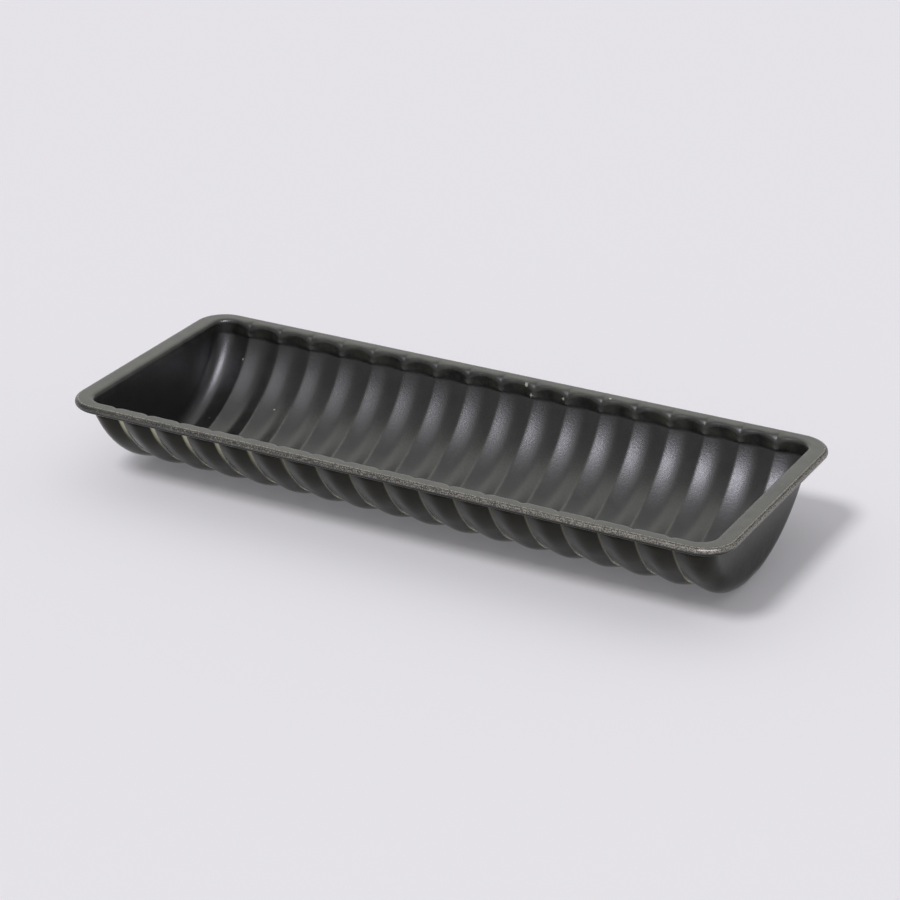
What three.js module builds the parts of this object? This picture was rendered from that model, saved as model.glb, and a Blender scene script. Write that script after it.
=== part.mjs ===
import * as THREE from "three";
import { mergeVertices } from "three/addons/utils/BufferGeometryUtils.js";

// A fluted, half-round baking mould for yule logs. The trough, the flat rim and the rolled edge are one
// pressed steel sheet, and the edge is rolled over a loop of steel wire.
// Millimetres. X runs along the mould, Y across it and Z up. The origin is on the surface that the
// mould stands on, below its middle.

// Overall sizes
const rimLength = 300;
const rimWidth = 117.5;
const height = 40.5;
const sheet = 0.6;

// Trough, measured on the outside of the sheet. A ledge is how far the rim stands out past it.
const endLedge = 7.9;
const sideLedge = 6.15;
const collarHeight = 6.9;
const collarBend = 3;
const sharpestBend = 0.5;
const footWidth = 12;
const endLean = 1.9;
const endCorner = 7.5;

// Flutes
const fluteCount = 18;
const fluteMargin = 0.35;
const fluteDepth = 1.75;
const fluteLand = 3;
const fluteAtRimShare = 0.62;

// Rim and rolled edge
const lipBend = 1.8;
const rimCorner = 14;
const wireRadius = 0.85;
const wireGap = 0.3;
const rollTurn = THREE.MathUtils.degToRad(240);

// Facets
const bendSteps = 2;
const roundSteps = 7;
const cornerSteps = 4;
const lipSteps = 2;
const rimCornerSteps = 7;
const rollSteps = 8;
const wireSides = 8;

// Sizes that follow from the ones above
const quarterTurn = Math.PI / 2;
const halfWidth = rimWidth / 2 - sideLedge;
const halfFoot = footWidth / 2;
const halfLand = fluteLand / 2;
const endTop = rimLength / 2 - endLedge;
const flutePitch = (2 * (endTop - fluteMargin)) / fluteCount;
const halfPitch = flutePitch / 2;
const outerCrest = endTop - fluteMargin - halfPitch;
const collarFoot = height - collarHeight;
const roundCentre = (halfWidth ** 2 + collarFoot ** 2 - halfFoot ** 2) / (2 * collarFoot);
const roundRadius = Math.hypot(halfFoot, roundCentre);
const rollRadius = wireRadius + wireGap + sheet;
const rollCentre = height - rollRadius;

// Where an even step of a range lies, from 0 to 1
const stepShares = (steps) => Array.from({ length: steps + 1 }, (_, i) => i / steps);

// How far the wall is drawn in from the crest of its flute, at a distance from the flute's middle. The
// flute is an arc with a narrow flat land along its crest.
function fluteDraw(fromMiddle) {
  const span = halfPitch ** 2 - halfLand ** 2;
  const landDrop = (span / fluteDepth + fluteDepth) / 2;
  const radius = Math.hypot(halfLand, landDrop);
  return landDrop - Math.sqrt(radius ** 2 - fromMiddle ** 2);
}

// Stations along the trough, from the -X end wall to the +X one. A station is on a flute, at a place along
// the mould, or on an end corner, at an angle round it.
function makeStations() {
  const between = (halfLand + halfPitch) / 2;
  const flutes = [];
  for (let i = 0; i < fluteCount; i++) {
    const middle = (i + 0.5) * flutePitch - (fluteCount * flutePitch) / 2;
    for (const offset of [-halfPitch, -between, -halfLand, halfLand, between]) {
      if (Math.abs(middle + offset) < outerCrest) {
        flutes.push({ x: middle + offset, draw: fluteDraw(offset) });
      }
    }
  }
  const corner = (side) => stepShares(cornerSteps).map((share) => ({ side, turn: share * quarterTurn }));
  return [...corner(-1).reverse(), ...flutes, ...corner(1)];
}

// Stops across the trough, from the top of the collar on one side, down its round to the foot, and up again
function makeStops() {
  const half = [
    { part: "collar", share: 0 },
    ...stepShares(bendSteps).map((share) => ({ part: "bend", share })),
    ...stepShares(roundSteps).slice(1).map((share) => ({ part: "round", share })),
  ];
  const onSide = (side) => half.map((stop) => ({ ...stop, side }));
  return [...onSide(1), ...onSide(-1).reverse()];
}

const stations = makeStations();
const stops = makeStops();

// The cross-section over the crests, drawn in by an amount all along: an upright collar, a bend, a round
// arc and a flat foot
function sectionPoint(stop, drawn) {
  const bend = Math.max(collarBend - drawn, sharpestBend);
  const bendY = halfWidth - drawn - bend;
  const round = roundRadius - drawn;
  const bendBelow = Math.sqrt((round - bend) ** 2 - bendY ** 2);
  const bendTurn = Math.atan2(bendBelow, bendY);
  if (stop.part === "collar") return { y: bendY + bend, z: height - lipBend };
  if (stop.part === "bend") {
    const turn = stop.share * bendTurn;
    return { y: bendY + bend * Math.cos(turn), z: roundCentre - bendBelow - bend * Math.sin(turn) };
  }
  const footTurn = Math.asin((roundCentre - drawn) / round);
  const turn = THREE.MathUtils.lerp(bendTurn, footTurn, stop.share);
  return { y: round * Math.cos(turn), z: roundCentre - round * Math.sin(turn) };
}

// A point of the trough's wall, on its outside where depthIn is 0 and on its inside where it is the sheet's
// thickness. A corner's wall is drawn in while it turns to the end wall, which leans in towards the foot.
function wallPoint(station, stop, depthIn) {
  if (station.side === undefined) {
    const draw = station.draw * (stop.part === "collar" ? fluteAtRimShare : 1);
    const { y, z } = sectionPoint(stop, depthIn + draw);
    return new THREE.Vector3(station.x, stop.side * y, z);
  }
  const turned = 1 - Math.cos(station.turn);
  const { y, z } = sectionPoint(stop, depthIn + (endCorner - depthIn) * turned);
  const endWall = endTop - (endLean * (height - z)) / height - depthIn;
  const x = outerCrest + (endWall - outerCrest) * Math.sin(station.turn);
  return new THREE.Vector3(station.side * x, stop.side * y, z);
}

// The plan direction that leads out of the trough at a station, on one side of the mould
function outwards(station, side) {
  if (station.side === undefined) return new THREE.Vector3(0, side, 0);
  return new THREE.Vector3(station.side * Math.sin(station.turn), side * Math.cos(station.turn), 0);
}

// Loops round the trough's mouth, anticlockwise from above, one for each step of the bend from the collar
// to the flat rim
function lipLoops(depthIn) {
  const radius = lipBend - sheet + depthIn;
  return stepShares(lipSteps).map((share) => {
    const turn = share * quarterTurn;
    const out = lipBend - sheet - radius * Math.cos(turn);
    const place = (station, stop) => {
      const point = wallPoint(station, stop, 0);
      point.addScaledVector(outwards(station, stop.side), out);
      return point.setZ(height - lipBend + radius * Math.sin(turn));
    };
    const back = stations.map((station) => place(station, stops[0])).reverse();
    const front = stations.map((station) => place(station, stops[stops.length - 1]));
    return [...back, ...front];
  });
}

// The rolled edge's middle line, anticlockwise from above, with the direction that leads out at each place
function makeRimLine() {
  const cornerRadius = rimCorner - rollRadius;
  const cornerX = rimLength / 2 - rimCorner;
  const cornerY = rimWidth / 2 - rimCorner;
  const line = [];
  for (const [quarter, signX, signY] of [[0, 1, 1], [1, -1, 1], [2, -1, -1], [3, 1, -1]]) {
    for (const share of stepShares(rimCornerSteps)) {
      const turn = (quarter + share) * quarterTurn;
      const out = new THREE.Vector3(Math.cos(turn), Math.sin(turn), 0);
      const middle = new THREE.Vector3(signX * cornerX, signY * cornerY, rollCentre);
      line.push({ middle: middle.addScaledVector(out, cornerRadius), out });
    }
  }
  return line;
}

const rimLine = makeRimLine();

// A loop round the rolled edge's middle line, at a distance from it and an angle up from the outside
function rimLoop(distance, turn) {
  const rise = new THREE.Vector3(0, 0, distance * Math.sin(turn));
  return rimLine.map(({ middle, out }) =>
    middle.clone().add(rise).addScaledVector(out, distance * Math.cos(turn)),
  );
}

// Triangles between neighbouring rows of points. A closed row joins its last point to its first, and
// turning the faces over swaps their two sides.
function addLattice(triangles, rows, { closed = false, over = false } = {}) {
  const columns = rows[0].length;
  const last = closed ? columns : columns - 1;
  for (let i = 0; i + 1 < rows.length; i++) {
    for (let j = 0; j < last; j++) {
      const next = (j + 1) % columns;
      const corners = [rows[i][j], rows[i][next], rows[i + 1][next], rows[i + 1][j]];
      const [a, b, c, d] = over ? corners.reverse() : corners;
      triangles.push(a, b, c, a, c, d);
    }
  }
}

// One side of the sheet over the trough: its wall and its two end walls
function addTrough(triangles, depthIn, over) {
  const rows = stations.map((station) => stops.map((stop) => wallPoint(station, stop, depthIn)));
  addLattice(triangles, rows, { over });
  const half = stops.length / 2;
  for (const [row, turned] of [[rows[0], !over], [rows[rows.length - 1], over]]) {
    addLattice(triangles, [row.slice(0, half), row.slice(half).reverse()], { over: turned });
  }
}

// One side of the flat rim, between the lip's last loop and the rolled edge
function addFlatRim(triangles, inner, outer, over) {
  const flat = (loop) => loop.map(({ x, y }) => new THREE.Vector2(x, y));
  const points = [...outer, ...inner.toReversed()];
  const faces = THREE.ShapeUtils.triangulateShape(flat(outer), [flat(inner.toReversed())]);
  for (const face of faces) {
    const [a, b, c] = (over ? face.toReversed() : face).map((index) => points[index]);
    triangles.push(a, b, c);
  }
}

function makeShell() {
  const triangles = [];
  const insideLip = lipLoops(sheet);
  const outsideLip = lipLoops(0);
  addTrough(triangles, sheet, false);
  addTrough(triangles, 0, true);
  addLattice(triangles, insideLip, { closed: true, over: true });
  addLattice(triangles, outsideLip, { closed: true });

  const rollTurns = stepShares(rollSteps).map((share) => quarterTurn - share * rollTurn);
  const outsideRoll = rollTurns.map((turn) => rimLoop(rollRadius, turn));
  const insideRoll = rollTurns.map((turn) => rimLoop(rollRadius - sheet, turn));
  addFlatRim(triangles, insideLip[lipSteps], outsideRoll[0], false);
  addFlatRim(triangles, outsideLip[lipSteps], insideRoll[0], true);
  addLattice(triangles, outsideRoll, { closed: true, over: true });
  addLattice(triangles, insideRoll, { closed: true });
  addLattice(triangles, [outsideRoll[rollSteps], insideRoll[rollSteps]], { closed: true, over: true });
  return triangles;
}

function makeWire() {
  const triangles = [];
  const turns = stepShares(wireSides).map((share) => share * 4 * quarterTurn);
  addLattice(triangles, turns.map((turn) => rimLoop(wireRadius, turn)), { closed: true });
  return triangles;
}

function meshOf(name, triangles, material) {
  const geometry = mergeVertices(new THREE.BufferGeometry().setFromPoints(triangles));
  geometry.computeVertexNormals();
  const mesh = new THREE.Mesh(geometry, material);
  mesh.name = name;
  return mesh;
}

const coatedSteel = new THREE.MeshStandardMaterial({ color: 0x2e2f30, roughness: 0.42, metalness: 0.35 });
const bareSteel = new THREE.MeshStandardMaterial({ color: 0x8f9194, roughness: 0.35, metalness: 1 });

const mould = new THREE.Group();
mould.name = "yule_log_mould";
mould.add(meshOf("mould_shell", makeShell(), coatedSteel));
mould.add(meshOf("rim_wire", makeWire(), bareSteel));

export default mould;
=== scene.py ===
"""A half-round fluted baking mould for yule logs: one pressed sheet with a coat on each side, and a
wire in its rolled edge. The sizes and colours that a user would change are in the property groups,
each piece has an operator that builds it, and the panel in the 3D view's sidebar lists them.

Metres. X runs along the mould, Y across it and Z up, with the origin on the surface that it stands
on."""

import math

import bpy
import numpy as np
from mathutils import Matrix, Vector


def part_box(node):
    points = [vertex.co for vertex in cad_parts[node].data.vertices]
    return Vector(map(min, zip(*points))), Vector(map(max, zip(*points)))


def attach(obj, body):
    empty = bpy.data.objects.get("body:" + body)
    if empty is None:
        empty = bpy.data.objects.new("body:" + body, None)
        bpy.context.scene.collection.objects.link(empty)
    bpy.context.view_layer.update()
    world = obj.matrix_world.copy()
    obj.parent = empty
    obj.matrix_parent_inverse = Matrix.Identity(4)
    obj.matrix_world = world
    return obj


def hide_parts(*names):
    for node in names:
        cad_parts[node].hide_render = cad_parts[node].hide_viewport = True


bl_info = {
    "name": "Yule Log Mould",
    "version": (1, 0, 0),
    "blender": (4, 5, 0),
    "location": "3D View > Sidebar > Mould",
    "description": "Builds a fluted half-round baking mould, its finishes and a plain studio",
    "category": "Add Mesh",
}

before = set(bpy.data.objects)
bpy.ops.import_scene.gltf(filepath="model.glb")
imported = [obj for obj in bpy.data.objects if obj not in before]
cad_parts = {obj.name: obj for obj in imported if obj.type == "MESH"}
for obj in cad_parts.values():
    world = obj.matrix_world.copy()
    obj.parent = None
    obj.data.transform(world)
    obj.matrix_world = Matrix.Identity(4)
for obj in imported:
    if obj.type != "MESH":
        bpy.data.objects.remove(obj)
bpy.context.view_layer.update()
shell_low, shell_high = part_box("mould_shell")
shell_size = shell_high - shell_low

QUARTER_TURN = math.pi / 2
UP = np.array([0, 0, 1.0])

# A loop round the mould runs along its back from +X to -X, and along its front from -X to +X
SIDES = ((1, slice(None, None, -1)), (-1, slice(None)))

# What a point of the sheet carries for the coats, each from 0 to 1: how near it is to a ridge, how
# far down the trough it lies, and how far round the rolled edge
MARKS = ("ridge", "fall", "roll")

# The shell's finishes, in the order of its materials
INSIDE, OUTSIDE, BARE = range(3)

# How far round the rolled edge the inside's coat reaches
COAT_EDGE = 0.44

# How strongly a flute's stations crowd towards its ridges, where 0 gives even steps
CROWDING = 0.6

# Points that agree to this many decimals of a metre are joined
JOINED_DECIMALS = 7

# Faces that meet at more than this angle keep a sharp edge between them
SHARP_ANGLE = math.radians(60)

# How many steps each stretch of the surfaces has
SHELL_DETAIL = {
    "flute": 20,
    "corner": 12,
    "collar": 4,
    "bend": 5,
    "round": 24,
    "foot": 3,
    "lip": 6,
    "flat": 4,
    "roll": 16,
}
WIRE_DETAIL = {"flute": 2, "corner": 16, "end": 2, "round": 20}


def length(name, description, default):
    """A property for a length in metres."""
    return bpy.props.FloatProperty(
        name=name, description=description, default=default, min=0, precision=5, unit="LENGTH"
    )


def share(name, description, default):
    """A property for a share from 0 to 1."""
    return bpy.props.FloatProperty(
        name=name, description=description, default=default, min=0, max=1, subtype="FACTOR"
    )


def angle(name, description, degrees):
    """A property for an angle, given in degrees."""
    return bpy.props.FloatProperty(
        name=name, description=description, default=math.radians(degrees), unit="ROTATION"
    )


def number(name, description, default):
    """A property for a plain number."""
    return bpy.props.FloatProperty(name=name, description=description, default=default, min=0)


def colour(name, description, default):
    """A property for a linear colour."""
    return bpy.props.FloatVectorProperty(
        name=name, description=description, default=default, size=3, min=0, max=1, subtype="COLOR"
    )


class MouldSizes(bpy.types.PropertyGroup):
    """Sizes of the pressed sheet and its wire."""

    rim_length: length("Rim length", "Length over the rolled edge", shell_size.x)
    rim_width: length("Rim width", "Width over the rolled edge", shell_size.y)
    height: length("Height", "Height from the foot to the top of the rim", shell_size.z)
    sheet: length("Sheet", "Thickness of the sheet", 0.0006)
    trough_length: length("Trough length", "Length of the trough at its mouth, outside", 0.2842)
    trough_width: length("Trough width", "Width of the trough at its mouth, outside", 0.1052)
    collar_height: length("Collar height", "Height of the upright collar below the rim", 0.0069)
    collar_bend: length("Collar bend", "Radius between the collar and the round", 0.005)
    sharpest_bend: length("Sharpest bend", "Least radius of that bend over the ridges", 0.003)
    foot_width: length("Foot width", "Width of the flat foot", 0.012)
    end_lean: length("End lean", "How far an end wall leans in at the foot", 0.0019)
    end_corner: length("End corner", "Radius between a side and an end wall", 0.0075)
    flute_count: bpy.props.IntProperty(
        name="Flutes", description="Number of flutes along the trough", default=18, min=1
    )
    flute_margin: length("Flute margin", "Plain strip between the last flute and the end", 0.00035)
    flute_depth: length("Flute depth", "Depth of a flute", 0.00195)
    flute_crest: share("Flute crest", "Share of the flute's width that its round crest takes", 0.33)
    flute_at_rim: share("Flute at rim", "Share of the flute's depth that reaches the rim", 0.72)
    ridge_inside: length("Ridge inside", "Rounding of the ridges on the inside", 0.0004)
    ridge_outside: length("Ridge outside", "Rounding of the grooves on the outside", 0.0003)
    ridge_at_rim: length("Ridge at rim", "Rounding of the ridges where they meet the rim", 0.0009)
    # The ridge mark that this reach sets also places the painted ridge and groove highlights and
    # glints
    ridge_reach: length("Ridge reach", "How far from a ridge its wear reaches", 0.0026)
    ridge_nose: length("Ridge nose", "How much wider the lip's bend is over a ridge", 0.0034)
    nose_reach: length("Nose reach", "How far from a ridge that widening reaches", 0.0021)
    lip_bend: length("Lip bend", "Outer radius between the collar and the flat rim", 0.0018)
    rim_corner: length("Rim corner", "Radius of the rim's corners", 0.014)
    wire_radius: length("Wire radius", "Radius of the wire in the rolled edge", 0.00085)
    wire_gap: length("Wire gap", "Gap between the wire and the sheet", 0.0003)
    roll_turn: angle("Roll turn", "How far the edge is rolled round the wire", 240)


class MouldFinish(bpy.types.PropertyGroup):
    """Colours of the coats and of the bare metal, and of the highlights and glints painted on the
    coats.
    """

    inside_coat: colour(
        "Inside coat", "Satin charcoal coat of the inside and the rim", (0.005, 0.005, 0.0048)
    )
    outside_coat: colour("Outside coat", "Glossy black coat of the outside", (0.005, 0.005, 0.003))
    # Paler inside coat: painted highlights along the ridges near the foot, and a paler collar
    rubbed_coat: colour(
        "Rubbed coat", "Inside coat where it is rubbed thin", (0.045, 0.046, 0.034)
    )
    # Painted highlight: a pale line along each groove of the outside, brighter lower down
    groove_line: colour(
        "Groove line", "Outside coat where it is thin along the grooves", (0.09, 0.09, 0.06)
    )
    # Painted glints: pale yellow marks high up the grooves at the left of the front, and near the
    # foot
    groove_scuff: colour(
        "Groove scuff", "Outside coat where the grooves are scuffed", (0.7, 0.7, 0.48)
    )
    # Grains of worn steel on the bead, and a painted highlight along the rim's shoulder and on the
    # bead towards the right
    worn_edge: colour(
        "Worn edge", "Steel that shows through on the rolled edge", (0.31, 0.29, 0.25)
    )
    chip: colour("Chips", "Chips in the coat and specks of dust", (0.42, 0.41, 0.35))
    bare_steel: colour("Bare steel", "Wire and the sheet's cut edge", (0.55, 0.56, 0.57))


class MouldStudio(bpy.types.PropertyGroup):
    """The floor, the light and the camera."""

    backdrop: colour(
        "Backdrop", "Colour of the floor and of what lies behind it", (0.775, 0.76, 0.799)
    )
    wall_level: number("Wall level", "Brightness of the room above its horizon", 0.3)
    ceiling_level: number("Ceiling level", "Brightness of the room overhead", 0.6)
    softbox_colour: colour("Softbox colour", "Colour of the softbox", (0.9, 0.88, 1.0))
    softbox_level: number("Softbox level", "Brightness of the softbox", 10.5)
    softbox_azimuth: angle("Softbox azimuth", "Turn round the mould from its front", 45.4)
    softbox_elevation: angle("Softbox elevation", "Height above the horizon", 49.8)
    softbox_distance: length("Softbox distance", "From the mould to the softbox", 1.32)
    softbox_width: length("Softbox width", "Width of the softbox", 0.75)
    softbox_height: length("Softbox height", "Height of the softbox", 0.4)
    screen_colour: colour(
        "Screen colour", "Colour of the pale screen behind the mould", (1.0, 0.995, 0.93)
    )
    screen_level: number("Screen level", "Brightness of that screen", 0.68)
    screen_azimuth: angle("Screen azimuth", "Turn round the mould from its front", -145)
    screen_elevation: angle("Screen elevation", "Height of its middle above the horizon", 38)
    screen_distance: length("Screen distance", "From the mould to the screen", 1.2)
    screen_width: length("Screen width", "Width of the screen", 1.9)
    screen_height: length("Screen height", "Height of the screen", 1.5)
    fill_colour: colour("Fill colour", "Colour of the weak lamp over the front", (0.95, 0.94, 1.0))
    fill_level: number("Fill level", "Brightness of that lamp", 0.7)
    fill_azimuth: angle("Fill azimuth", "Turn round the mould from its front", 8)
    fill_elevation: angle("Fill elevation", "Height above the horizon", 60)
    fill_distance: length("Fill distance", "From the mould to the fill", 1.2)
    fill_width: length("Fill width", "Width of the fill", 0.95)
    fill_height: length("Fill height", "Height of the fill", 0.7)
    floor_glow: share("Floor glow", "Share of the floor's colour that no shadow takes away", 0.16)
    sun_level: number("Sun level", "Share of the floor's light that casts the shadow", 0.39)
    sun_azimuth: angle("Sun azimuth", "Turn round the mould from its front", -10)
    sun_elevation: angle("Sun elevation", "Height above the horizon", 54)
    sun_width: angle("Sun width", "Angle that the sun fills", 13)
    camera_azimuth: angle("Azimuth", "Camera's turn round the mould from its front", 28.335)
    camera_elevation: angle("Elevation", "Camera's height above the horizon", 24.688)
    camera_roll: angle("Roll", "Camera's turn about its own axis", 0.08)
    camera_distance: length("Distance", "From the aim to the camera", 1.16355)
    camera_lens: number("Lens", "Focal length in millimetres", 113.16)
    camera_sensor: number("Sensor", "Width of the sensor in millimetres", 36)
    camera_aim: bpy.props.FloatVectorProperty(
        name="Aim",
        description="Point that the camera looks at",
        default=(0.00453, -0.00333, 0.02945),
        size=3,
        subtype="XYZ",
    )
    floor_reach: length("Floor reach", "From the mould to each edge of the floor", 6.0)


class Plan:
    """Sizes that follow from the ones in the property group, with those beside them. The round's
    centre lies at the height from which the collar's foot and the foot's edge are equally far."""

    def __init__(self, sizes):
        for name in MouldSizes.__annotations__:
            setattr(self, name, getattr(sizes, name))
        self.half_width = self.trough_width / 2
        self.half_foot = self.foot_width / 2
        self.end_top = self.trough_length / 2
        self.pitch = (self.trough_length - 2 * self.flute_margin) / self.flute_count
        self.outer_crest = self.end_top - self.flute_margin - self.pitch / 2
        collar_foot = self.height - self.collar_height
        squares = self.half_width**2 + collar_foot**2 - self.half_foot**2
        self.round_centre = squares / (2 * collar_foot)
        self.round_radius = math.hypot(self.half_foot, self.round_centre)
        self.roll_radius = self.wire_radius + self.wire_gap + self.sheet
        self.roll_centre = self.height - self.roll_radius


def steps(count):
    """Evenly spaced shares from 0 to 1."""
    return np.linspace(0, 1, count + 1)


def flute_draw(plan, from_middle, rounding):
    """How far the wall is drawn in at a distance from a flute's middle. With the distance as a share
    of half the pitch, it follows the hyperbola that is the root of the share squared plus the crest
    squared, so a round crest runs out into two straight flanks, and it reaches the flute's depth at
    the ridge. What is left to the ridge is replaced by the root of its square plus the rounding
    squared, which turns the crease between two flutes into a small curve."""
    half = plan.pitch / 2
    left = np.hypot(half - np.abs(from_middle), rounding)
    crest = plan.flute_crest
    rise = np.hypot(1 - left / half, crest) - crest
    return plan.flute_depth * rise / (math.hypot(1, crest) - crest)


def section(plan, stop, drawn, lip):
    """A point of the cross-section over the crests, drawn in by an amount all along, with room for
    the lip's bend above it. The stop runs from 0 at the collar's top to 1 at its foot, to 2 round the
    bend, to 3 down the round arc and to 4 at the foot's middle. Each arc is its centre plus its
    radius times the cosine and the sine of the angle below the horizontal, and the bend's centre
    lies where it touches both the collar and the round."""
    bend = np.maximum(plan.collar_bend - drawn, plan.sharpest_bend)
    collar_y = plan.half_width - drawn
    bend_y = collar_y - bend
    round_radius = plan.round_radius - drawn
    bend_below = np.sqrt((round_radius - bend) ** 2 - bend_y**2)
    bend_turn = np.arctan2(bend_below, bend_y)
    bend_z = plan.round_centre - bend_below
    foot_turn = np.arcsin((plan.round_centre - drawn) / round_radius)

    down, round_bend, along_round, over_foot = (np.clip(stop - part, 0, 1) for part in range(4))
    turn = round_bend * bend_turn
    arc_turn = bend_turn + along_round * (foot_turn - bend_turn)
    collar_top = plan.height - lip
    collar_z = collar_top + down * (bend_z - collar_top)
    arc_y = round_radius * np.cos(arc_turn)
    arc_z = plan.round_centre - round_radius * np.sin(arc_turn)
    y = np.where(stop <= 2, bend_y + bend * np.cos(turn), arc_y)
    z = np.where(stop <= 2, bend_z - bend * np.sin(turn), arc_z)
    y = np.where(stop <= 1, collar_y, y) * (1 - over_foot)
    z = np.where(stop <= 1, collar_z, z)
    return y, z


class Stations:
    """Places along the trough from the -X end wall to the +X one. Flute stations crowd towards the
    ridges: an even step across the flute is moved on by the crowding times its sine over pi. Corner
    stations turn from the side to the end wall about the last crest. How near a station is to a
    ridge is e to minus the square of its distance over the reach. The lip's bend is wider near a
    ridge, by e to minus the distance over a reach of its own, so the mouth is scalloped and has a
    nose on each ridge."""

    def __init__(self, plan, per_flute, per_corner):
        across = np.linspace(-1, 1, per_flute, endpoint=False)
        crowded = across + CROWDING * np.sin(math.pi * across) / math.pi
        offset = plan.pitch / 2 * crowded
        middle = (np.arange(plan.flute_count) + 0.5 - plan.flute_count / 2) * plan.pitch
        x = (middle[:, None] + offset).ravel()
        between = np.abs(x) < plan.outer_crest - plan.pitch / per_flute / 2
        turn = QUARTER_TURN * steps(per_corner)
        crest = np.full(len(turn), plan.outer_crest)
        flutes = np.tile(offset, plan.flute_count)[between]
        self.x = np.concatenate([-crest, x[between], crest])
        self.from_middle = np.concatenate([0 * turn, flutes, 0 * turn])
        self.turn = np.concatenate([turn[::-1], 0 * flutes, turn])
        self.side = np.sign(self.x)
        from_ridge = plan.pitch / 2 - np.abs(self.from_middle)
        self.ridge = np.exp(-((from_ridge / plan.ridge_reach) ** 2))
        nose = np.exp(-np.hypot(from_ridge, plan.ridge_inside) / plan.nose_reach)
        self.lip = plan.lip_bend + plan.ridge_nose * nose


def wall(plan, stations, stop, side, depth_in, ridge):
    """Points of the trough's wall, stations by stops, at a depth in from its outside. A flute station
    is the section drawn in by its flute, which at the rim has only a share of its depth, and a
    rounding of its own on its ridge. A corner station is drawn in by the corner's radius times one
    minus the cosine of its turn, and runs on by the sine of it towards the end wall, which leans in
    evenly down to the foot."""
    at_rim = 1 - np.clip(stop, 0, 1)
    rounding = ridge + (plan.ridge_at_rim - ridge) * at_rim
    draw = flute_draw(plan, stations.from_middle[:, None], rounding)
    draw = draw * (1 - (1 - plan.flute_at_rim) * at_rim)
    turned = (1 - np.cos(stations.turn))[:, None]
    drawn = depth_in + draw + (plan.end_corner - depth_in) * turned
    y, z = section(plan, stop, drawn, stations.lip[:, None])
    end_wall = plan.end_top - plan.end_lean * (plan.height - z) / plan.height - depth_in
    reach = (end_wall - plan.outer_crest) * np.sin(stations.turn)[:, None]
    x = stations.x[:, None] + stations.side[:, None] * reach
    return np.stack([x, side * y, z], axis=-1)


def outwards(stations, side):
    """The plan direction that leads out of the trough at each station, on one side of the mould."""
    turn = stations.turn
    return np.stack([stations.side * np.sin(turn), side * np.cos(turn), 0 * turn], axis=-1)


def join_sides(back, front, ends):
    """Joins the back and the front run of a loop by straight runs across the two ends. Each run is a
    list of arrays with what the loop carries."""
    loops = []
    for one, other in zip(back, front):
        between = steps(ends)[1:-1].reshape(-1, *[1] * (one.ndim - 1))
        left = one[-1] + between * (other[0] - one[-1])
        right = other[-1] + between * (one[0] - other[-1])
        loops.append(np.concatenate([one, left, other, right]))
    return loops


def mouth_loop(plan, stations, ends, ridge):
    """The top of the collar's outside all the way round, anticlockwise from above, with the plan
    direction that leads out of the trough at each place, the lip's bend there, and how near the place
    is to a ridge."""
    runs = []
    for side, order in SIDES:
        points = wall(plan, stations, np.zeros(1), side, 0, ridge)[:, 0]
        carried = [points, outwards(stations, side), stations.lip, stations.ridge]
        runs.append([values[order] for values in carried])
    return join_sides(*runs, ends)


def rim_loop(plan, stations, ends):
    """The rolled edge's middle line all the way round, with a place for each one of the mouth's loop:
    a straight run keeps its X, and a corner turns about the rim's own corner centre."""
    corner_x = plan.rim_length / 2 - plan.rim_corner
    corner_y = plan.rim_width / 2 - plan.rim_corner
    places = np.arange(len(stations.x))
    last = (stations.turn > 0).sum() // 2
    in_corner = (places <= last) | (places >= len(places) - 1 - last)
    start = np.where(in_corner, stations.side * corner_x, stations.x)
    level = 0 * start
    runs = []
    for side, order in SIDES:
        out = outwards(stations, side)
        centre = np.stack([start, level + side * corner_y, level + plan.roll_centre], axis=-1)
        middle = centre + (plan.rim_corner - plan.roll_radius) * out
        runs.append([middle[order], out[order]])
    return join_sides(*runs, ends)


def rings(middle, out, radius, turns):
    """Points round a middle line: the line plus the radius times the cosine of the turn outwards, and
    times the sine of it upwards."""
    turns = turns[:, None, None]
    return middle + radius * (np.cos(turns) * out + np.sin(turns) * UP)


def rim_rows(plan, stations, ends, detail):
    """The profile of the lip, the flat rim and the roll, carried round the mouth. It leaves the
    inside of the collar, bends out to the flat rim, rolls down round the wire, turns back at the
    sheet's edge and comes home along the underside. Lip rows are the mouth's loop, moved out by the
    bend less the radius times the cosine of the turn and up by the radius times the sine of it. Roll
    rows are rings round the rim's loop, and flat rows lie evenly between the two. Comes with the
    marks of the upper rows and of the lower ones."""
    inside_mouth, *_ = mouth_loop(plan, stations, ends, plan.ridge_inside)
    outside_mouth, out, bend, ridge = mouth_loop(plan, stations, ends, plan.ridge_outside)
    middle, rim_out = rim_loop(plan, stations, ends)
    bend = bend[:, None] - plan.sheet

    def lip(mouth, depth_in, turns):
        radius = bend + depth_in
        return mouth + (bend - radius * np.cos(turns)) * out + radius * np.sin(turns) * UP

    bent, flat, rolled = (steps(detail[part]) for part in ("lip", "flat", "roll"))
    lip_turns = QUARTER_TURN * bent[:, None, None]
    roll_turns = QUARTER_TURN - plan.roll_turn * rolled
    upper_lip = lip(inside_mouth, plan.sheet, lip_turns)
    lower_lip = lip(outside_mouth, 0, lip_turns[::-1])
    upper_roll = rings(middle, rim_out, plan.roll_radius, roll_turns)
    lower_roll = rings(middle, rim_out, plan.roll_radius - plan.sheet, roll_turns[::-1])
    between = flat[1:-1, None, None]
    upper_flat = upper_lip[-1] + between * (upper_roll[0] - upper_lip[-1])
    lower_flat = lower_roll[-1] + between * (lower_lip[0] - lower_roll[-1])
    upper = np.concatenate([upper_lip, upper_flat, upper_roll])
    lower = np.concatenate([lower_roll, lower_flat, lower_lip])

    round_edge, near_ridge = np.zeros((2, len(upper), 1))
    round_edge[-len(rolled) :, 0] = rolled
    near_ridge[: len(bent), 0] = 1 - bent
    upper_marks = {"roll": round_edge, "ridge": near_ridge * ridge}
    lower_marks = {name: mark[::-1] for name, mark in upper_marks.items()}
    return upper, upper_marks, lower, lower_marks


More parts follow.
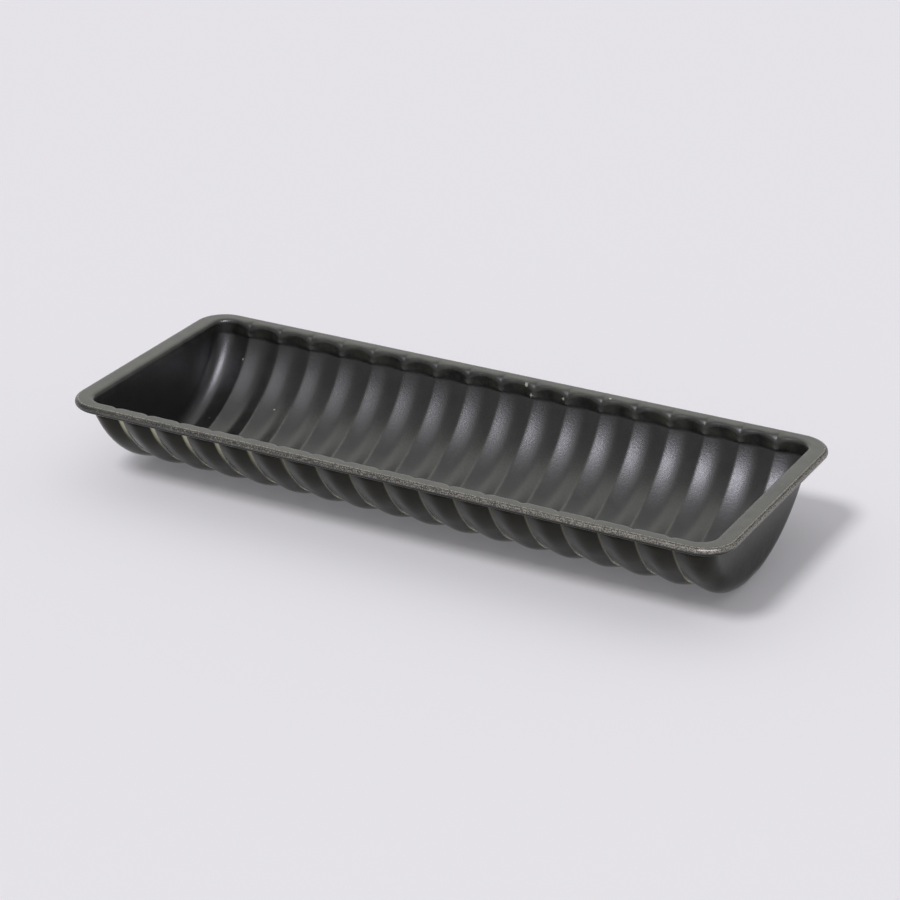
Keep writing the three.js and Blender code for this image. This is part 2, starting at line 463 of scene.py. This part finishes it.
class Mesh:
    """Collects lattices of points with their marks, and joins the points that two of them share."""

    def __init__(self):
        self.points = []
        self.quads = []
        self.finishes = []
        self.marks = {name: [] for name in MARKS}
        self.count = 0

    def add(self, lattice, finish, marks=None, closed=False, over=False):
        """Adds the quads between neighbouring rows and columns of a lattice. A closed one joins its
        last column to its first, and turning the faces over swaps their two sides."""
        rows, columns = lattice.shape[:2]
        index = self.count + np.arange(rows * columns).reshape(rows, columns)
        following = np.roll(index, -1, axis=1) if closed else index[:, 1:]
        leading = index if closed else index[:, :-1]
        corners = [leading[:-1], following[:-1], following[1:], leading[1:]]
        quads = np.stack(corners, axis=-1).reshape(-1, 4)
        self.points.append(lattice.reshape(-1, 3))
        self.quads.append(quads[:, ::-1] if over else quads)
        self.finishes.append(np.full(len(quads), finish))
        for name in MARKS:
            mark = (marks or {}).get(name, 0.0)
            self.marks[name].append(np.broadcast_to(mark, (rows, columns)).ravel())
        self.count += rows * columns

    def build(self, name, materials):
        """Makes the object, with the points that lattices share joined."""
        points = np.concatenate(self.points)
        rounded = np.round(points, JOINED_DECIMALS)
        _, first, where = np.unique(rounded, axis=0, return_index=True, return_inverse=True)
        quads = where.reshape(-1)[np.concatenate(self.quads)]
        mesh = bpy.data.meshes.new(name)
        mesh.from_pydata(points[first], [], quads)
        mesh.polygons.foreach_set("material_index", np.concatenate(self.finishes))
        for mark, values in self.marks.items():
            carried = mesh.attributes.new(mark, "FLOAT", "POINT")
            carried.data.foreach_set("value", np.concatenate(values)[first].astype(np.float32))
        mesh.shade_smooth()
        mesh.set_sharp_from_angle(angle=SHARP_ANGLE)
        for material in materials:
            mesh.materials.append(material)
        mesh.update()
        piece = bpy.data.objects.new(name, mesh)
        bpy.context.collection.objects.link(piece)
        return piece


def half_stops(detail):
    """Stops from the collar's top to the foot's middle."""
    parts = [detail[part] for part in ("collar", "bend", "round", "foot")]
    return np.concatenate([[0], *(part + steps(count)[1:] for part, count in enumerate(parts))])


def add_trough(mesh, plan, stations, detail, depth_in, ridge, finish, over):
    """One side of the sheet over the trough, as a lattice of stations by stops, with its two end
    walls as lattices of the stops above the foot by even shares across."""
    half = half_stops(detail)
    back = wall(plan, stations, half, 1, depth_in, ridge)
    front = wall(plan, stations, half, -1, depth_in, ridge)
    rows = np.concatenate([back, front[:, -2::-1]], axis=1)
    fall = half / half[-1]
    marks = {"ridge": stations.ridge[:, None], "fall": np.concatenate([fall, fall[-2::-1]])}
    mesh.add(rows, finish, marks, over=over)
    foot = detail["foot"]
    levels = len(half) - foot
    for end, turned in ((0, over), (-1, not over)):
        from_back, from_front = back[end, :levels, None], front[end, :levels, None]
        cap = from_back + steps(2 * foot)[:, None] * (from_front - from_back)
        mesh.add(cap, finish, {"fall": fall[:levels, None]}, over=turned)


class MOULD_OT_shell(bpy.types.Operator):
    """Build the pressed sheet with its coats"""

    bl_idname = "mould.shell"
    bl_label = "Pressed Shell"

    def execute(self, context):
        plan = Plan(context.scene.mould_sizes)
        detail = SHELL_DETAIL
        stations = Stations(plan, detail["flute"], detail["corner"])
        mesh = Mesh()
        add_trough(mesh, plan, stations, detail, plan.sheet, plan.ridge_inside, INSIDE, over=False)
        add_trough(mesh, plan, stations, detail, 0, plan.ridge_outside, OUTSIDE, over=True)

        ends = 2 * detail["foot"]
        upper, upper_marks, lower, lower_marks = rim_rows(plan, stations, ends, detail)
        inside_rows = len(upper) - round((1 - COAT_EDGE) * detail["roll"])
        for rows, coat in ((slice(inside_rows), INSIDE), (slice(inside_rows - 1, None), OUTSIDE)):
            marks = {name: mark[rows] for name, mark in upper_marks.items()}
            mesh.add(upper[rows], coat, marks, closed=True, over=True)
        cut_edge = np.stack([upper[-1], lower[0]])
        mesh.add(cut_edge, BARE, {"roll": 1.0}, closed=True, over=True)
        mesh.add(lower, OUTSIDE, lower_marks, closed=True, over=True)

        finish = context.scene.mould_finish
        materials = [inside_coat(finish), outside_coat(finish), bare_steel(finish)]
        piece = mesh.build("pressed_shell", materials)
        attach(piece, "root")
        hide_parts("mould_shell")
        return {"FINISHED"}


class MOULD_OT_wire(bpy.types.Operator):
    """Build the wire inside the rolled edge"""

    bl_idname = "mould.wire"
    bl_label = "Rim Wire"

    def execute(self, context):
        plan = Plan(context.scene.mould_sizes)
        detail = WIRE_DETAIL
        stations = Stations(plan, detail["flute"], detail["corner"])
        middle, out = rim_loop(plan, stations, detail["end"])
        turns = 4 * QUARTER_TURN * steps(detail["round"])
        mesh = Mesh()
        mesh.add(rings(middle, out, plan.wire_radius, turns), finish=0, closed=True)
        piece = mesh.build("edge_wire", [bare_steel(context.scene.mould_finish)])
        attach(piece, "root")
        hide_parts("rim_wire")
        return {"FINISHED"}


# A noise's values mostly lie between these
NOISE_SPAN = (0.3, 0.7)


class Nodes:
    """A short way to add nodes to a tree. An input is given another node's output, or a plain
    value."""

    def __init__(self, tree):
        self.tree = tree

    def feed(self, socket, value):
        """Links an output to a socket, or sets the socket's own value."""
        if isinstance(value, bpy.types.NodeSocket):
            self.tree.links.new(value, socket)
        else:
            socket.default_value = value

    def add(self, kind, inputs=None, **settings):
        """Adds a node with its settings made and its inputs fed."""
        node = self.tree.nodes.new(kind)
        for name, value in settings.items():
            setattr(node, name, value)
        for name, value in (inputs or {}).items():
            self.feed(node.inputs[name], value)
        return node

    def math(self, operation, *values):
        """The result of one of the Math node's operations."""
        node = self.add("ShaderNodeMath", dict(enumerate(values)), operation=operation)
        return node.outputs["Value"]

    def product(self, first, *others):
        """Values times each other."""
        for other in others:
            first = self.math("MULTIPLY", first, other)
        return first

    def weighted(self, *terms):
        """The sum of some values, each times its weight."""
        total, *others = (self.product(value, weight) for value, weight in terms)
        for other in others:
            total = self.math("ADD", total, other)
        return total

    def ramp(self, value, low, high, start=0.0, end=1.0):
        """A smooth step from a start to an end, as the value goes from low to high."""
        inputs = {"Value": value, "From Min": low, "From Max": high, "To Min": start, "To Max": end}
        node = self.add("ShaderNodeMapRange", inputs, interpolation_type="SMOOTHSTEP")
        return node.outputs["Result"]

    def band(self, value, rise, drop):
        """A mask that is full between a smooth step up and a smooth step down."""
        return self.product(self.ramp(value, *rise), self.ramp(value, *drop))

    def blend(self, amount, low, high):
        """A colour between two others, which are outputs or plain colours."""
        mix = self.add("ShaderNodeMix", {"Factor": amount}, data_type="RGBA")
        for socket, value in (("A", low), ("B", high)):
            linked = isinstance(value, bpy.types.NodeSocket)
            self.feed(mix.inputs[socket], value if linked else (*value, 1))
        return mix.outputs["Result"]

    def mottled(self, amount, base, low, high):
        """A colour that varies between two multiples of a base."""
        return self.blend(amount, *([times * part for part in base] for times in (low, high)))

    def noise(self, vector, scale, detail):
        """A soft random pattern, which comes to 0.5 on average."""
        inputs = {"Vector": vector, "Scale": scale, "Detail": detail}
        return self.add("ShaderNodeTexNoise", inputs).outputs["Fac"]

    def mark(self, name):
        """One of the marks that the mesh's points carry."""
        return self.add("ShaderNodeAttribute", attribute_name=name).outputs["Fac"]

    def bump(self, height, distance):
        """The normal of a surface that a height lifts, where a height of 1 lifts it by a distance."""
        inputs = {"Height": height, "Strength": 1.0, "Distance": distance}
        return self.add("ShaderNodeBump", inputs).outputs["Normal"]

    def effect(self, group, **inputs):
        """Places a node group and gives its outputs."""
        return self.add("ShaderNodeGroup", inputs, node_tree=group).outputs


def node_group(name, inputs, outputs, work):
    """A node group, built once. Its work takes the tree's nodes and the inputs, and gives the
    outputs' values."""
    tree = bpy.data.node_groups.get(name)
    if tree:
        return tree
    tree = bpy.data.node_groups.new(name, "ShaderNodeTree")
    for socket in inputs:
        kind = "NodeSocketVector" if socket in ("place", "centre") else "NodeSocketFloat"
        tree.interface.new_socket(socket, in_out="INPUT", socket_type=kind)
    for socket in outputs:
        tree.interface.new_socket(socket, in_out="OUTPUT", socket_type="NodeSocketFloat")
    nodes = Nodes(tree)
    given = nodes.add("NodeGroupInput").outputs
    made = work(nodes, *(given[socket] for socket in inputs))
    nodes.add("NodeGroupOutput", dict(zip(outputs, made)))
    return tree


def grain():
    """Fine grain and broad mottling, each from 0 to 1."""

    def work(nodes, place, fine, broad):
        mottling = nodes.ramp(nodes.noise(place, broad, detail=4.0), *NOISE_SPAN)
        return nodes.noise(place, fine, detail=3.0), mottling

    return node_group("grain", ("place", "fine", "broad"), ("fine", "broad"), work)


def specks():
    """Small round specks, one in some of the cells of a Voronoi pattern. They are solid out to a
    share of their size, and fade from there."""
    solid_share = 0.5

    def work(nodes, place, scale, size, share):
        cells = nodes.add("ShaderNodeTexVoronoi", {"Vector": place, "Scale": scale}).outputs
        inside = nodes.ramp(cells["Distance"], size, nodes.product(size, solid_share))
        chance = nodes.add("ShaderNodeSeparateColor", {"Color": cells["Color"]}).outputs["Red"]
        return (nodes.product(inside, nodes.math("LESS_THAN", chance, share)),)

    return node_group("specks", ("place", "scale", "size", "share"), ("mask",), work)


def worn():
    """A grainy mask that eats into an edge, used for wear and for painted highlights: it shows where
    the edge outweighs a fine noise.
    """
    beyond_noise = (0.03, 0.35)

    def work(nodes, place, edge, scale):
        spots = nodes.ramp(nodes.noise(place, scale, detail=2.0), *NOISE_SPAN)
        return (nodes.ramp(nodes.math("SUBTRACT", edge, spots), *beyond_noise),)

    return node_group("worn", ("place", "edge", "scale"), ("mask",), work)


def chip():
    """A ragged chip round a centre. Its radius varies by half either way, and it is solid out to a
    share of that, and fades from there."""
    ragged_scale = 1800.0
    least, most = 0.5, 1.5
    solid_share = 0.6

    def work(nodes, place, centre, radius):
        noise = nodes.noise(place, ragged_scale, detail=2.0)
        reach = nodes.product(radius, nodes.ramp(noise, *NOISE_SPAN, least, most))
        between = {0: place, 1: centre}
        away = nodes.add("ShaderNodeVectorMath", between, operation="DISTANCE").outputs["Value"]
        return (nodes.ramp(away, reach, nodes.product(reach, solid_share)),)

    return node_group("chip", ("place", "centre", "radius"), ("mask",), work)


def start_material(name, **constants):
    """A material with its shader's plain values set, its nodes, its shader's inputs, and the
    object's own coordinates."""
    material = bpy.data.materials.new(name)
    material.use_nodes = True
    nodes = Nodes(material.node_tree)
    sockets = material.node_tree.nodes["Principled BSDF"].inputs
    for socket, value in constants.items():
        sockets[socket.replace("_", " ")].default_value = value
    return material, nodes, sockets, nodes.add("ShaderNodeTexCoord").outputs["Object"]


# Where the inside's coat is painted paler, as spans of the marks: painted highlights along the ridges
# near the foot, a paler collar, a grainy painted highlight on the rim's shoulder, and worn grains on
# the bead. A span runs from none to full, and a stretch has a span at each end.
INSIDE_RIDGE_TOP = (0.9, 1.0)
INSIDE_NEAR_FOOT = (0.45, 0.8)
INSIDE_UP_COLLAR = (0.3, 0.15)
SHOULDER_STRETCH = ((0.0, 0.03), (0.14, 0.07))
BEAD_STRETCH = ((0.1, 0.18), (0.42, 0.33))

# How strongly the ridges get their painted highlight, how much paler the collar is made, and how
# strongly the rim's shoulder gets its grainy painted highlight
RIDGE_HIGHLIGHT = 0.7
COLLAR_PALING = 0.55
SHOULDER_HIGHLIGHT = 0.72

# How much the bead is worn at the mould's middle, and how much more per metre along each axis, which
# paints a highlight that grows towards the right and a little towards the front
BEAD_WEAR = 0.52
BEAD_HIGHLIGHT_ALONG = (1.8, -0.3, 0.0)

# Where the outside's grooves get a pale painted highlight line, and where they get brighter painted
# glints, in the same way. The glints are painted high up at the left of the front, and near the foot
# on both sides.
GROOVE_BOTTOM = (0.93, 1.0)
DOWN_GROOVE = (0.1, 0.5)
LEFT_OF_MIDDLE = (-0.03, -0.1)
FRONT_OF_MIDDLE = (0.0, -0.01)
TOP_GLINT_STRETCH = ((0.28, 0.36), (0.58, 0.46))
TOP_GLINT_ACROSS = (0.72, 0.98)
FOOT_GLINT_STRETCH = ((0.58, 0.65), (0.78, 0.72))
FOOT_GLINT_ACROSS = (0.8, 0.98)

# Where the inside's coat is chipped: places, and the chips' radii
CHIPS = (
    ((-0.1265, 0.0456, 0.0253), 0.0005),
    ((-0.103, 0.033, 0.0108), 0.00045),
    ((-0.13, 0.0219, 0.0051), 0.0004),
    ((0.0116, 0.0519, 0.0393), 0.0009),
    ((0.0145, 0.051, 0.0352), 0.0009),
    ((0.0294, 0.0514, 0.0367), 0.0008),
    ((0.0504, 0.0531, 0.0405), 0.0006),
)


def inside_coat(finish):
    """Satin charcoal coat with a fine grain. Highlights are painted as pale lines along the ridges
    near the foot, and the collar is made paler. A grainy highlight is painted along the rim's
    shoulder, and the bead is worn through in grains with a painted highlight that grows towards the
    right. It has a few chips and specks of dust."""
    material, nodes, sockets, place = start_material("inside_coat", Specular_IOR_Level=1.0)
    ridge, fall, roll = (nodes.mark(name) for name in MARKS)
    fine, broad = nodes.effect(grain(), place=place, fine=1200.0, broad=140.0)

    # Pale lines painted along the ridges near the foot as highlights, and a paler collar
    near_ridge = nodes.ramp(ridge, *INSIDE_RIDGE_TOP)
    near_foot = nodes.ramp(fall, *INSIDE_NEAR_FOOT)
    ridge_highlight = nodes.product(near_ridge, near_foot, broad, RIDGE_HIGHLIGHT)
    paler_collar = nodes.product(nodes.ramp(fall, *INSIDE_UP_COLLAR), broad, COLLAR_PALING)
    highlight_and_paler = nodes.math("MAXIMUM", ridge_highlight, paler_collar)

    # The bead's wear grows towards the right, which paints a highlight there; the rim's shoulder gets
    # a painted grainy highlight line
    along = {0: place, 1: BEAD_HIGHLIGHT_ALONG}
    highlight_along = nodes.add("ShaderNodeVectorMath", along, operation="DOT_PRODUCT").outputs["Value"]
    bead = nodes.product(nodes.band(roll, *BEAD_STRETCH), nodes.math("ADD", highlight_along, BEAD_WEAR))
    shoulder_highlight = nodes.product(nodes.band(roll, *SHOULDER_STRETCH), SHOULDER_HIGHLIGHT)
    wear_and_highlight = nodes.math("MAXIMUM", shoulder_highlight, bead)
    edge = nodes.effect(worn(), place=place, edge=wear_and_highlight, scale=2100.0)["mask"]

    dust = nodes.effect(specks(), place=place, scale=200.0, size=0.06, share=0.03)["mask"]
    for centre, radius in CHIPS:
        mask = nodes.effect(chip(), place=place, centre=centre, radius=radius)["mask"]
        dust = nodes.math("MAXIMUM", dust, mask)

    shade = nodes.mottled(broad, finish.inside_coat, low=0.6, high=1.6)
    # Blends in the painted ridge highlights and the paler collar
    shade = nodes.blend(highlight_and_paler, shade, finish.rubbed_coat)
    # Blends in the painted shoulder highlight and the bead's worn grains with their painted highlight
    shade = nodes.blend(edge, shade, finish.worn_edge)
    nodes.feed(sockets["Base Color"], nodes.blend(dust, shade, finish.chip))
    nodes.feed(sockets["Metallic"], nodes.product(edge, 0.6))
    satin = nodes.ramp(fine, *NOISE_SPAN, start=0.29, end=0.35)
    rougher = nodes.weighted((broad, 0.03), (edge, 0.12))
    nodes.feed(sockets["Roughness"], nodes.math("ADD", satin, rougher))
    height = nodes.math("ADD", fine, nodes.product(edge, 0.25))
    nodes.feed(sockets["Normal"], nodes.bump(height, distance=0.000045))
    return material


def outside_coat(finish):
    """Glossy black coat that ripples a little. A pale highlight line is painted along the grooves
    between the flutes, and brighter glints are painted on two stretches of the grooves."""
    material, nodes, sockets, place = start_material(
        "outside_coat", Specular_IOR_Level=0.16, Specular_Tint=(1.0, 0.99, 0.8, 1.0)
    )
    ridge, fall = nodes.mark("ridge"), nodes.mark("fall")
    fine, broad = nodes.effect(grain(), place=place, fine=900.0, broad=160.0)
    # Painted highlight: a pale line along each groove, stronger lower down
    brighter_down = nodes.ramp(fall, *DOWN_GROOVE, start=0.35)
    groove_highlight = nodes.product(nodes.ramp(ridge, *GROOVE_BOTTOM), brighter_down)

    axes = nodes.add("ShaderNodeSeparateXYZ", {"Vector": place}).outputs
    left = nodes.ramp(axes["X"], *LEFT_OF_MIDDLE)
    front = nodes.ramp(axes["Y"], *FRONT_OF_MIDDLE)
    # Painted glints high up the grooves at the left of the front, and near the foot on both sides
    top_glint = nodes.product(nodes.band(fall, *TOP_GLINT_STRETCH), nodes.ramp(ridge, *TOP_GLINT_ACROSS))
    foot = nodes.product(nodes.band(fall, *FOOT_GLINT_STRETCH), nodes.ramp(ridge, *FOOT_GLINT_ACROSS))
    glint = nodes.math("MAXIMUM", nodes.product(top_glint, left, front), foot)
    dust = nodes.effect(specks(), place=place, scale=260.0, size=0.07, share=0.04)["mask"]
    faint_dust = nodes.product(dust, 0.4)

    shade = nodes.mottled(broad, finish.outside_coat, low=0.6, high=1.8)
    shade = nodes.blend(groove_highlight, shade, finish.groove_line)
    shade = nodes.blend(glint, shade, finish.groove_scuff)
    nodes.feed(sockets["Base Color"], nodes.blend(faint_dust, shade, finish.chip))
    nodes.feed(sockets["Roughness"], nodes.weighted((broad, 0.04), (fine, 0.08)))
    ripple = nodes.noise(place, scale=160.0, detail=1.0)
    height = nodes.weighted((ripple, 3.0), (fine, 0.3))
    nodes.feed(sockets["Normal"], nodes.bump(height, distance=0.00003))
    return material


def bare_steel(finish):
    """Drawn steel with a fine grain and dull patches."""
    material, nodes, sockets, place = start_material("bare_steel", Metallic=1.0)
    fine, broad = nodes.effect(grain(), place=place, fine=3000.0, broad=300.0)
    shade = nodes.mottled(broad, finish.bare_steel, low=1.0, high=0.6)
    nodes.feed(sockets["Base Color"], shade)
    nodes.feed(sockets["Roughness"], nodes.weighted((broad, 0.15), (fine, 0.5)))
    return material


class MOULD_OT_studio(bpy.types.Operator):
    """Set the floor, the light and the camera"""

    bl_idname = "mould.studio"
    bl_label = "Studio"

    def execute(self, context):
        studio = context.scene.mould_studio
        add_floor(context, studio)
        add_room(context, studio)
        add_lamps(context, studio)
        add_camera(context, studio)
        context.scene.view_settings.view_transform = "Standard"
        return {"FINISHED"}


def add_floor(context, studio):
    """A level square far wider than the mould. Cameras, mirrors and glass see a glow on it as well as
    the light that falls on it."""
    reach = studio.floor_reach
    corners = [(-reach, -reach, 0), (reach, -reach, 0), (reach, reach, 0), (-reach, reach, 0)]
    mesh = bpy.data.meshes.new("floor")
    mesh.from_pydata(corners, [], [(0, 1, 2, 3)])
    floor = bpy.data.objects.new("floor", mesh)
    context.collection.objects.link(floor)
    material, nodes, sockets, _ = start_material(
        "floor",
        Base_Color=(*studio.backdrop, 1),
        Roughness=1.0,
        Specular_IOR_Level=0.0,
        Emission_Strength=1.0,
    )
    rays = nodes.add("ShaderNodeLightPath").outputs
    seen = nodes.math("MAXIMUM", rays["Is Camera Ray"], rays["Is Glossy Ray"])
    seen = nodes.math("MAXIMUM", seen, rays["Is Transmission Ray"])
    glow = tuple(studio.floor_glow * part for part in studio.backdrop)
    nodes.feed(sockets["Emission Color"], nodes.blend(seen, (0.0, 0.0, 0.0), glow))
    mesh.materials.append(material)


def direction(azimuth, elevation):
    """The direction from the mould to a place at an azimuth from its front and a height above the
    horizon."""
    level = math.cos(elevation)
    return Vector((math.sin(azimuth) * level, -math.cos(azimuth) * level, math.sin(elevation)))


# Heights on the room's sphere, from 0 at the horizon to 1 overhead: where the backdrop turns into the
# wall, and the wall into the ceiling
BACKDROP_TO_WALL = (0.08, 0.2)
WALL_TO_CEILING = (0.4, 1.0)


def add_room(context, studio):
    """A plain room. It has the backdrop's colour below its horizon and just above it, a duller wall,
    and a paler ceiling."""
    world = bpy.data.worlds.new("room")
    context.scene.world = world
    world.use_nodes = True
    nodes = Nodes(world.node_tree)
    look = nodes.add("ShaderNodeTexCoord").outputs["Generated"]
    up = nodes.add("ShaderNodeSeparateXYZ", {"Vector": look}).outputs["Z"]
    wall_colour, ceiling_colour = (studio.wall_level,) * 3, (studio.ceiling_level,) * 3
    room = nodes.blend(nodes.ramp(up, *WALL_TO_CEILING), wall_colour, ceiling_colour)
    room = nodes.blend(nodes.ramp(up, *BACKDROP_TO_WALL), studio.backdrop, room)
    nodes.feed(world.node_tree.nodes["Background"].inputs["Color"], room)


def add_lamp(context, name, kind, azimuth, elevation, distance):
    """A lamp that stands off from the mould in a direction, and faces it."""
    data = bpy.data.lights.new(name, kind)
    lamp = bpy.data.objects.new(name, data)
    lamp.visible_camera = False
    context.collection.objects.link(lamp)
    back = direction(azimuth, elevation)
    turn = back.to_track_quat("Z", "Y").to_matrix().to_4x4()
    lamp.matrix_world = Matrix.Translation(back * distance) @ turn
    return lamp, data


def add_lamps(context, studio):
    """Three flat lamps, whose light the coats mirror, and a broad sun, which gives the floor its
    shadow. The room and the sun light the floor evenly, so neither kind does the other's work. A flat
    lamp's power is its level times pi times its area."""
    for name in ("softbox", "screen", "fill"):
        level, width, height, *place = (
            getattr(studio, f"{name}_{size}")
            for size in ("level", "width", "height", "azimuth", "elevation", "distance")
        )
        lamp, data = add_lamp(context, name, "AREA", *place)
        data.shape = "RECTANGLE"
        data.size, data.size_y = width, height
        data.color = getattr(studio, f"{name}_colour")
        data.energy = level * math.pi * width * height
        lamp.visible_diffuse = False
    sun, data = add_lamp(context, "sun", "SUN", studio.sun_azimuth, studio.sun_elevation, distance=1)
    data.angle = studio.sun_width
    data.energy = studio.sun_level * math.pi / math.sin(studio.sun_elevation)
    sun.visible_glossy = False


def add_camera(context, studio):
    """The camera stands back from its aim along the direction that its azimuth and elevation give."""
    back = direction(studio.camera_azimuth, studio.camera_elevation)
    data = bpy.data.cameras.new("camera")
    data.lens = studio.camera_lens
    data.sensor_width = studio.camera_sensor
    camera = bpy.data.objects.new("camera", data)
    context.collection.objects.link(camera)
    facing = back.to_track_quat("Z", "Y").to_matrix().to_4x4()
    roll = Matrix.Rotation(studio.camera_roll, 4, "Z")
    place = Vector(studio.camera_aim) + back * studio.camera_distance
    camera.matrix_world = Matrix.Translation(place) @ facing @ roll
    context.scene.camera = camera


class MOULD_PT_panel(bpy.types.Panel):
    """Lists the mould's pieces, sizes and finishes"""

    bl_idname = "MOULD_PT_panel"
    bl_label = "Yule Log Mould"
    bl_space_type = "VIEW_3D"
    bl_region_type = "UI"
    bl_category = "Mould"

    def draw(self, context):
        layout = self.layout
        for operator in OPERATORS:
            layout.operator(operator.bl_idname)
        for name in GROUPS:
            group = getattr(context.scene, name)
            box = layout.box()
            for size in group.__annotations__:
                box.prop(group, size)


GROUPS = {"mould_sizes": MouldSizes, "mould_finish": MouldFinish, "mould_studio": MouldStudio}
OPERATORS = (MOULD_OT_shell, MOULD_OT_wire, MOULD_OT_studio)
CLASSES = (*GROUPS.values(), *OPERATORS, MOULD_PT_panel)


def register():
    """Registers the classes, and gives the scene its property groups."""
    for kind in CLASSES:
        bpy.utils.register_class(kind)
    for name, group in GROUPS.items():
        setattr(bpy.types.Scene, name, bpy.props.PointerProperty(type=group))


def unregister():
    """Takes the property groups and the classes away again."""
    for name in GROUPS:
        delattr(bpy.types.Scene, name)
    for kind in reversed(CLASSES):
        bpy.utils.unregister_class(kind)


def main():
    """Builds the pieces and the studio."""
    register()
    bpy.ops.mould.shell()
    bpy.ops.mould.wire()
    bpy.ops.mould.studio()


if __name__ == "__main__":
    main()
